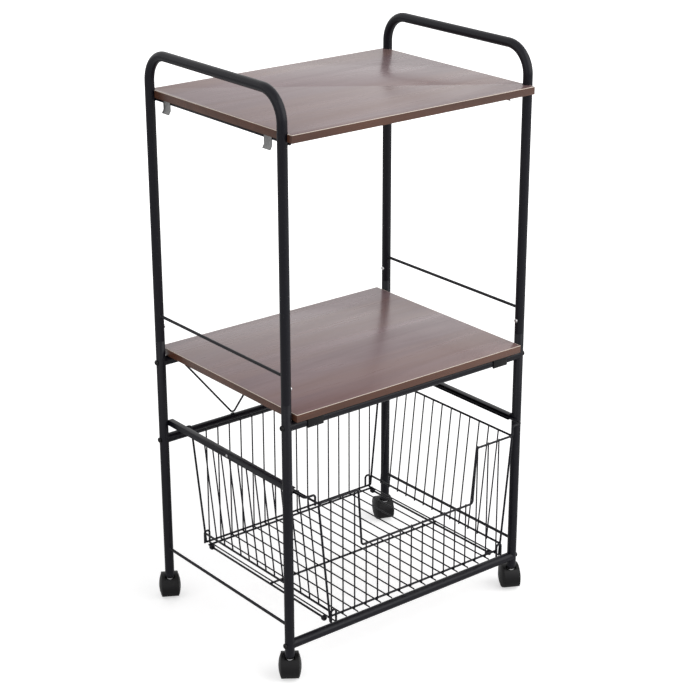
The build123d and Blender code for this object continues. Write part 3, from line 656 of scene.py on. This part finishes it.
class STAND_OT_brace(bpy.types.Operator):
    """Zigzag wire between the rear bars"""

    bl_idname = "stand.brace"
    bl_label = "Zigzag brace"

    def execute(self, context):
        bm = merged_copy("rear_zigzag_brace")
        post_y = centre_of("lower_post_rear_left").y
        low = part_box("rear_lower_bar")[1].z
        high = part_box("rear_shelf_bar")[0].z
        for index in range(5):
            z = high - 0.0006 if index % 2 == 0 else low + 0.0006
            for side in (-1, 1):
                place = ((index - 2) * sizes().brace_pitch, post_y + side * 0.0017, z)
                weld_dot(bm, place, 0.0018, (3.2, 0.9, 0.8))
        finish_piece("rear_zigzag_wire", bm, wire_paint(), "stand", ["rear_zigzag_brace"])
        return {"FINISHED"}


class STAND_OT_rails(bpy.types.Operator):
    """Channels that carry the basket, with their rivets"""

    bl_idname = "stand.rails"
    bl_label = "Drawer rails"

    def execute(self, context):
        for side_name, side in SIDES.items():
            node = "drawer_rail_" + side_name
            frame_piece(node + "_channel", softened_copy(node, THIN_EDGE), node)
        finish_piece("rail_rivet_heads", softened_copy("rail_rivets", MOULDED_EDGE), zinc_material(), "stand",
                     ["rail_rivets"])
        return {"FINISHED"}


class STAND_OT_clips(bpy.types.Operator):
    """Bent strips that hook the top shelf over its rods"""

    bl_idname = "stand.clips"
    bl_label = "Shelf clips"

    def execute(self, context):
        strips = softened_copy("top_shelf_clips", MOULDED_EDGE)
        finish_piece("top_shelf_clip_strips", strips, clip_material(), "stand", ["top_shelf_clips"])
        return {"FINISHED"}


class STAND_OT_saddles(bpy.types.Operator):
    """Moulded saddles under the middle shelf"""

    bl_idname = "stand.saddles"
    bl_label = "Shelf saddles"

    def execute(self, context):
        blocks = softened_copy("middle_shelf_saddles", MOULDED_EDGE)
        finish_piece("middle_shelf_saddle_blocks", blocks, moulded_black(), "stand", ["middle_shelf_saddles"])
        return {"FINISHED"}


class STAND_OT_fasteners(bpy.types.Operator):
    """Bolts, screws and threaded plugs"""

    bl_idname = "stand.fasteners"
    bl_label = "Fasteners"

    def execute(self, context):
        finish_piece("crossbar_bolt_heads", softened_copy("crossbar_bolts", MOULDED_EDGE), bolt_black(), "stand",
                     ["crossbar_bolts"])
        for node in ("frame_joint_screws", "top_clip_screws", "saddle_screws", "crossbar_inserts"):
            steel = softened_copy(node, THIN_EDGE)
            finish_piece(node + "_steel", steel, zinc_material(), "stand", [node])
        return {"FINISHED"}


class STAND_OT_basket_front(bpy.types.Operator):
    """Bent front rim and its upright bars"""

    bl_idname = "stand.basket_front"
    bl_label = "Basket front"

    def execute(self, context):
        wires = BasketWires()
        rim = sizes().rim_wire / 2
        bar = sizes().bar_wire / 2
        notch = sizes().bar_pitch * sizes().notch_bars / 2
        shoulder = notch + sizes().notch_lean
        foot = wires.half_width(wires.foot)
        top = wires.half_width(wires.top)
        outline = [(-foot, wires.foot), (-top, wires.top), (-shoulder, wires.top), (-notch, wires.notch),
                   (notch, wires.notch), (shoulder, wires.top), (top, wires.top), (foot, wires.foot)]
        bm = bmesh.new()
        round_bar(bm, [(x, wires.front, z) for x, z in outline], rim, sizes().rim_bend, sides=18, steps=8,
                  tip=0.0004)
        wire_piece("basket_front_rim_wire", bm, "basket_front_rim")
        places = wires.bar_places()
        outer = (len(places) - sizes().notch_bars) // 2
        groups = (("left", places[:outer], wires.top), ("centre", places[outer:-outer], wires.notch),
                  ("right", places[-outer:], wires.top))
        for name, group, rim_height in groups:
            node = "basket_front_bars_" + name
            low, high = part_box(node)
            bm = bmesh.new()
            for x in group:
                ends = [(x, wires.front_bar, low.z), (x, wires.front_bar, high.z)]
                round_bar(bm, ends, bar, sides=12, tip=0.0003)
                weld_dot(bm, (x, wires.front + rim, rim_height), bar, (1.5, 1.0, 1.2))
                weld_dot(bm, (x, wires.front_bar + bar, wires.edge), bar, (1.5, 1.0, 1.2))
            wire_piece(node + "_wire", bm, node)
        return {"FINISHED"}


class STAND_OT_basket_sides(bpy.types.Operator):
    """Side grilles of the basket"""

    bl_idname = "stand.basket_sides"
    bl_label = "Basket sides"

    def execute(self, context):
        wires = BasketWires()
        rim = sizes().rim_wire / 2
        bar = sizes().bar_wire / 2
        middle = (wires.front + wires.rear) / 2
        for side_name, side in SIDES.items():
            node = "basket_side_panel_" + side_name
            low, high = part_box(node)
            shift = side * (rim + bar - sizes().weld_sink)
            bm = bmesh.new()
            for z in (wires.top, wires.side_low):
                x = side * wires.half_width(z)
                round_bar(bm, [(x, low.y, z), (x, high.y, z)], rim, sides=14, tip=0.0003)
            bottom = low.z + 0.0002
            top = wires.top + rim * 0.8
            for place in wires.bar_places(13):
                y = middle + place
                round_bar(bm, [(side * wires.half_width(bottom) - shift, y, bottom),
                               (side * wires.half_width(top) - shift, y, top)], bar, sides=12, tip=0.0003)
                for z in (wires.top, wires.side_low):
                    weld_dot(bm, (side * (wires.half_width(z) - rim), y, z), bar, (1.0, 1.5, 1.2))
            wire_piece(node + "_grille", bm, node)
        return {"FINISHED"}


class STAND_OT_basket_rear(bpy.types.Operator):
    """Rear grille of the basket"""

    bl_idname = "stand.basket_rear"
    bl_label = "Basket rear"

    def execute(self, context):
        wires = BasketWires()
        rim = sizes().rim_wire / 2
        bar = sizes().bar_wire / 2
        low_wire = wires.floor_bar + bar / 2
        foot = wires.half_width(low_wire)
        top = wires.half_width(wires.top)
        bm = bmesh.new()
        outline = [(-top + 0.0001, wires.top), (-foot, low_wire), (foot, low_wire), (top - 0.0001, wires.top)]
        round_bar(bm, [(x, wires.rear, z) for x, z in outline], rim, 0.0022, sides=16, steps=4, tip=0.0003)
        round_bar(bm, [(-top, wires.rear, wires.top), (top, wires.rear, wires.top)], rim, sides=16, tip=0.0003)
        for side in (-1, 1):
            weld_dot(bm, (side * top, wires.rear, wires.top), rim)
        for x in wires.bar_places():
            ends = [(x, wires.rear_bar, low_wire - rim * 1.4), (x, wires.rear_bar, wires.top + rim * 0.7)]
            round_bar(bm, ends, bar, sides=12, tip=0.0003)
            for z in (wires.top, low_wire):
                weld_dot(bm, (x, wires.rear - rim, z), bar, (1.5, 1.0, 1.2))
        wire_piece("basket_rear_grille", bm, "basket_rear_panel")
        return {"FINISHED"}


class STAND_OT_basket_floor(bpy.types.Operator):
    """Floor grille with its cross wires, skids and knobs"""

    bl_idname = "stand.basket_floor"
    bl_label = "Basket floor"

    def execute(self, context):
        wires = BasketWires()
        rim = sizes().rim_wire / 2
        bar = sizes().bar_wire / 2
        low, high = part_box("basket_floor")
        edge_x = wires.half_width(wires.foot)
        middle = (wires.front + wires.rear) / 2
        rear = wires.rear_bar - bar
        bm = bmesh.new()
        round_bar(bm, [(-edge_x, wires.edge_y, wires.edge), (edge_x, wires.edge_y, wires.edge)], rim, sides=16,
                  tip=0.0003)
        cross_places = (middle - sizes().cross_offset, rear - 1.3 * rim)
        for y in cross_places:
            round_bar(bm, [(-edge_x, y, wires.cross), (edge_x, y, wires.cross)], rim, sides=16, tip=0.0003)
        for x in wires.bar_places():
            round_bar(bm, [(x, low.y, wires.floor_bar), (x, rear, wires.floor_bar)], bar, sides=12, tip=0.0003)
            weld_dot(bm, (x, wires.edge_y, wires.floor_bar + bar), bar, (1.5, 1.5, 0.9))
            for y in cross_places:
                weld_dot(bm, (x, y, wires.floor_bar - bar), bar, (1.5, 1.5, 0.9))
        for side in (-1, 1):
            x = side * (edge_x - 2 * rim)
            start = wires.edge_y + sizes().skid_setback
            round_bar(bm, [(x, start, wires.skid), (x, rear - 2 * rim, wires.skid)], rim, sides=16, tip=0.0003)
            half = sizes().knob_width / 2
            length = sizes().knob_length
            outline = [(0, 0), (half - 0.002, 0), (half - 0.0006, 0.0006), (half, 0.002), (half, length - 0.002),
                       (half - 0.0006, length - 0.0006), (half - 0.002, length), (0, length)]
            for y in (start, rear - 2 * rim - length):
                place = Matrix.Translation((x, y, wires.skid)) @ Matrix.Rotation(-math.pi / 2, 4, "X")
                turned(bm, outline, place, 24)
            for y in cross_places:
                weld_dot(bm, (x, y, wires.cross - rim), rim, (1.3, 1.3, 0.8))
        wire_piece("basket_floor_grille", bm, "basket_floor")
        return {"FINISHED"}


class STAND_OT_basket_runners(bpy.types.Operator):
    """Bent wires that ride in the rails"""

    bl_idname = "stand.basket_runners"
    bl_label = "Basket runners"

    def execute(self, context):
        rim = sizes().rim_wire / 2
        for side_name, side in SIDES.items():
            node = "basket_runner_" + side_name
            low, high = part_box(node)
            foot = (high.x if side < 0 else low.x) + side * rim
            rail = (low.x if side < 0 else high.x) - side * rim
            top = high.z - rim
            front = low.y + rim
            rear = high.y - rim
            points = [(foot, front, low.z), (foot, front, top), (rail, front, top), (rail, rear, top),
                      (foot, rear, top), (foot, rear, low.z)]
            bm = bmesh.new()
            round_bar(bm, points, rim, sizes().runner_bend, sides=16, steps=7, tip=0.0004)
            for y in (front, rear):
                weld_dot(bm, (foot - side * rim, y, low.z + rim * 2), rim, (0.8, 1.1, 1.6))
            wire_piece(node + "_wire", bm, node)
        return {"FINISHED"}


class STAND_OT_basket_hooks(bpy.types.Operator):
    """Hairpins at the basket's lower corners"""

    bl_idname = "stand.basket_hooks"
    bl_label = "Basket hairpins"

    def execute(self, context):
        rim = sizes().rim_wire / 2
        for end_name, end in ENDS.items():
            node = "basket_" + end_name + "_hooks"
            low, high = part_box(node)
            y = (low.y + high.y) / 2
            outer = high.x - rim
            inner = outer - sizes().hook_width
            top = high.z - rim
            bm = bmesh.new()
            for side in (-1, 1):
                points = [(side * inner, y, low.z), (side * inner, y, top), (side * outer, y, top),
                          (side * outer, y, low.z)]
                round_bar(bm, points, rim, sizes().hook_bend, sides=16, steps=8, tip=0.0004)
                for z in (low.z + 0.008, top - 0.005):
                    weld_dot(bm, (side * (outer - 0.0006), y - end * rim, z), rim, (0.9, 0.8, 1.6))
            wire_piece(node + "_wire", bm, node)
        return {"FINISHED"}


class STAND_OT_casters(bpy.types.Operator):
    """Twin-wheel casters with their stems and post plugs"""

    bl_idname = "stand.casters"
    bl_label = "Casters"

    def execute(self, context):
        finish_piece("caster_post_plugs", softened_copy("caster_sockets", MOULDED_EDGE), moulded_black(), "stand",
                     ["caster_sockets"])
        for side_name, side in SIDES.items():
            for end_name, end in ENDS.items():
                corner = end_name + "_" + side_name
                body = "caster_" + corner
                stem = centre_of("caster_stem_" + corner)
                axle = centre_of("caster_axle_" + corner)
                turn = math.atan2(stem.x - axle.x, axle.y - stem.y)
                place = Matrix.Translation(axle) @ Matrix.Rotation(turn, 4, "Z")
                for kind, material, slot in (("caster_stem_", zinc_material(), "zinc"),
                                             ("caster_axle_", zinc_material(), "zinc"),
                                             ("caster_hood_", moulded_black(), "black_plastic")):
                    node = kind + corner
                    finish_piece(node + "_part", softened_copy(node, PART_EDGE), material, body, [node])
                node = "caster_wheels_" + corner
                low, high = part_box(node)
                outline = self.wheel_outline((high.z - low.z) / 2)
                bm = bmesh.new()
                for turn_over in (-1, 1):
                    turned(bm, outline, place @ Matrix.Rotation(turn_over * math.pi / 2, 4, "Y"), 56)
                finish_piece(node + "_pair", bm, wheel_black(), "wheels_" + corner, [node])
        return {"FINISHED"}

    def wheel_outline(self, radius):
        """Half-section of a wheel: bore, inner face, tread with shallow grooves and the domed cover."""
        inner = sizes().wheel_inner
        rim = sizes().wheel_rim
        outer = sizes().wheel_outer
        bore = sizes().axle_width / 2 + 0.0001
        sphere = (radius ** 2 + (outer - rim) ** 2) / (2 * (outer - rim))
        outline = [(0, outer - 0.002), (bore, outer - 0.002), (bore, inner), (radius - 0.0006, inner),
                   (radius, inner + 0.0006)]
        for share in (0.36, 0.68):
            middle = inner + (rim - inner) * share
            outline += [(radius, middle - 0.0005), (radius - 0.0003, middle - 0.0002),
                        (radius - 0.0003, middle + 0.0002), (radius, middle + 0.0005)]
        outline += [(radius, rim - 0.0009), (radius - 0.0002, rim - 0.0004)]
        for share in (0.965, 0.93, 0.89, 0.885, 0.87, 0.865, 0.8, 0.7, 0.6, 0.5, 0.4, 0.3, 0.295, 0.27, 0.265,
                      0.2, 0.1):
            drop = 0.0004 if share in (0.885, 0.87, 0.295, 0.27) else 0.0
            place = radius * share
            outline.append((place, outer - sphere + math.sqrt(sphere ** 2 - place ** 2) - drop))
        return outline + [(0, outer)]


class STAND_OT_stage(bpy.types.Operator):
    """Floor, sky, lamps and camera"""

    bl_idname = "stand.stage"
    bl_label = "Stage"

    def execute(self, context):
        stage = context.scene.stand_stage
        bm = bmesh.new()
        bmesh.ops.create_grid(bm, x_segments=1, y_segments=1, size=30)
        mesh = bpy.data.meshes.new("floor")
        bm.to_mesh(mesh)
        bm.free()
        floor = bpy.data.objects.new("floor", mesh)
        context.scene.collection.objects.link(floor)
        material = bpy.data.materials.new("Pale floor")
        material.use_nodes = True
        tree = material.node_tree
        tree.nodes.clear()
        out = tree.nodes.new("ShaderNodeOutputMaterial")
        diffuse = add_node(tree, "ShaderNodeBsdfDiffuse", [("Color", (0.8, 0.8, 0.8, 1))])
        coords = tree.nodes.new("ShaderNodeTexCoord")
        reach = add_node(tree, "ShaderNodeVectorMath", [(0, coords.outputs["Object"])], operation="LENGTH")
        strength = remapped(tree, reach.outputs["Value"], 0.6, 3.0, 0.55, 1.05)
        glow = add_node(tree, "ShaderNodeEmission", [("Color", (1, 1, 1, 1)), ("Strength", strength)])
        path = tree.nodes.new("ShaderNodeLightPath")
        none = add_node(tree, "ShaderNodeEmission", [("Color", (0, 0, 0, 1)), ("Strength", 0.0)])
        choose = add_node(tree, "ShaderNodeMixShader", [("Fac", path.outputs["Is Camera Ray"]),
                                                        (1, none.outputs[0]), (2, glow.outputs[0])])
        both = add_node(tree, "ShaderNodeAddShader", [(0, diffuse.outputs[0]), (1, choose.outputs[0])])
        tree.links.new(both.outputs[0], out.inputs["Surface"])
        mesh.materials.append(material)

        world = bpy.data.worlds.new("Soft sky")
        context.scene.world = world
        world.use_nodes = True
        tree = world.node_tree
        tree.nodes.clear()
        out = tree.nodes.new("ShaderNodeOutputWorld")
        seen = add_node(tree, "ShaderNodeBackground", [("Color", (1, 1, 1, 1)), ("Strength", 1.0)])
        light = add_node(tree, "ShaderNodeBackground", [("Color", (1, 1, 1, 1)),
                                                        ("Strength", stage.sky_strength)])
        path = tree.nodes.new("ShaderNodeLightPath")
        direct = add_node(tree, "ShaderNodeMath", [(0, path.outputs["Is Camera Ray"]),
                                                   (1, path.outputs["Is Transmission Ray"])], operation="MAXIMUM")
        rays = add_node(tree, "ShaderNodeMath", [(0, direct.outputs[0]),
                                                 (1, path.outputs["Is Glossy Ray"])], operation="MAXIMUM")
        mix = add_node(tree, "ShaderNodeMixShader", [("Fac", rays.outputs[0]), (1, light.outputs[0]),
                                                     (2, seen.outputs[0])])
        tree.links.new(mix.outputs[0], out.inputs["Surface"])

        for name, place, power, size in (("key", (1.7, -3.0, 2.8), stage.key_power, stage.key_width),
                                         ("fill", (-3.0, -0.6, 2.0), stage.fill_power, stage.fill_width)):
            data = bpy.data.lights.new(name, "AREA")
            data.energy = power
            data.size = size
            lamp = bpy.data.objects.new(name, data)
            context.scene.collection.objects.link(lamp)
            lamp.location = place
            aim = Vector((0, 0, 0.6)) - Vector(place)
            lamp.rotation_euler = aim.to_track_quat("-Z", "Y").to_euler()

        data = bpy.data.cameras.new("camera")
        data.sensor_width = 36
        data.lens = stage.lens
        camera = bpy.data.objects.new("camera", data)
        context.scene.collection.objects.link(camera)
        turn = (Matrix.Rotation(-stage.camera_turn, 4, "Z")
                @ Matrix.Rotation(math.pi / 2 - stage.camera_drop, 4, "X")
                @ Matrix.Rotation(stage.camera_roll, 4, "Z"))
        camera.matrix_world = Matrix.Translation(stage.camera_place) @ turn
        context.scene.camera = camera
        context.scene.view_settings.view_transform = "Standard"
        return {"FINISHED"}


PIECES = (STAND_OT_shelves, STAND_OT_upper_frames, STAND_OT_lower_posts, STAND_OT_crossbars, STAND_OT_rods,
          STAND_OT_brace, STAND_OT_rails, STAND_OT_clips, STAND_OT_saddles, STAND_OT_fasteners,
          STAND_OT_basket_front, STAND_OT_basket_sides, STAND_OT_basket_rear, STAND_OT_basket_floor,
          STAND_OT_basket_runners, STAND_OT_basket_hooks, STAND_OT_casters)


class STAND_PT_panel(bpy.types.Panel):
    """Lists the stand's pieces"""

    bl_idname = "STAND_PT_panel"
    bl_label = "Microwave stand"
    bl_space_type = "VIEW_3D"
    bl_region_type = "UI"
    bl_category = "Stand"

    def draw(self, context):
        for piece in (*PIECES, STAND_OT_stage):
            self.layout.operator(piece.bl_idname)


CLASSES = (StandSizes, StandColours, StandStage, *PIECES, STAND_OT_stage, STAND_PT_panel)


def register():
    for item in CLASSES:
        bpy.utils.register_class(item)
    bpy.types.Scene.stand_sizes = PointerProperty(type=StandSizes)
    bpy.types.Scene.stand_colours = PointerProperty(type=StandColours)
    bpy.types.Scene.stand_stage = PointerProperty(type=StandStage)


def unregister():
    del bpy.types.Scene.stand_stage
    del bpy.types.Scene.stand_colours
    del bpy.types.Scene.stand_sizes
    for item in reversed(CLASSES):
        bpy.utils.unregister_class(item)


def main():
    register()
    for piece in (*PIECES, STAND_OT_stage):
        group, name = piece.bl_idname.split(".")
        getattr(getattr(bpy.ops, group), name)()


if __name__ == "__main__":
    main()
